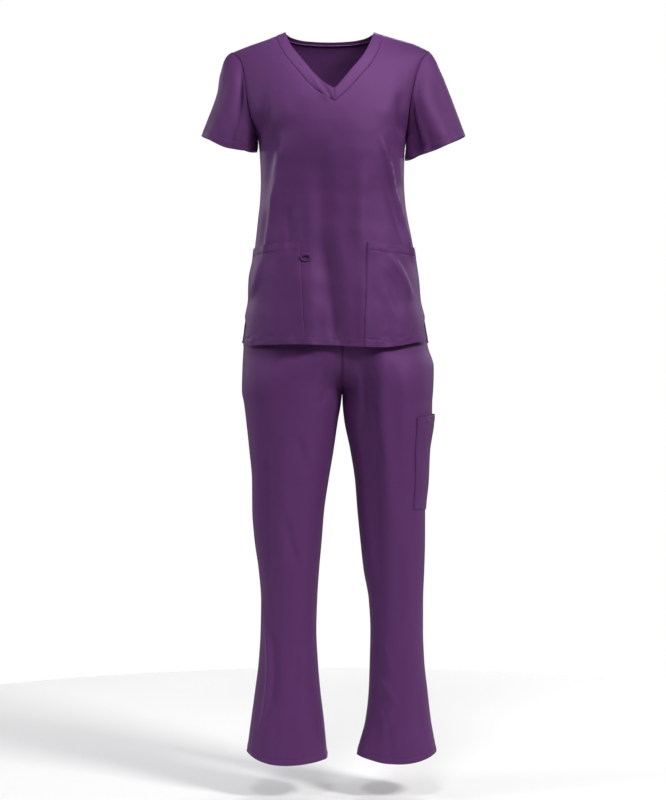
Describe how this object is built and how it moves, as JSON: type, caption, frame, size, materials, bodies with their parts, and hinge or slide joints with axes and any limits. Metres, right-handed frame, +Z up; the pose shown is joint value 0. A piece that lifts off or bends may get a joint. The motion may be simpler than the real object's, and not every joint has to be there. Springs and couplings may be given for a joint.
{
  "type": "medical scrubs",
  "caption": "V-neck scrub top with short sleeves, hem vents and patch pockets over pull-on scrub trousers with a cargo pocket, in the hollow form of a worn set.",
  "frame": {"origin": "base of the neck, level with the high points of the shoulders, on the plane of the side seams", "axes": "+Z up, the front faces -Y, +X towards the wearer's left"},
  "size_m": [0.554, 0.2607, 1.5273],
  "materials": {
    "top_cloth": "smooth stretch twill with a soft sheen",
    "band_cloth": "smooth stretch twill, doubled",
    "trouser_cloth": "smooth stretch twill with a soft sheen"
  },
  "bodies": {
    "root": {"top_front": "top_cloth", "top_back": "top_cloth", "neckband_front_right": "band_cloth", "neckband_front_left": "band_cloth", "neckband_back": "band_cloth", "sleeve_right": "top_cloth", "sleeve_left": "top_cloth", "pocket_right": "top_cloth", "pocket_left": "top_cloth", "badge_loop": "top_cloth", "leg_front_right": "trouser_cloth", "leg_back_right": "trouser_cloth", "leg_front_left": "trouser_cloth", "leg_back_left": "trouser_cloth", "facing_right": "trouser_cloth", "facing_left": "trouser_cloth", "waistband": "trouser_cloth", "cargo_pocket": "trouser_cloth"}
  },
  "joints": []
}
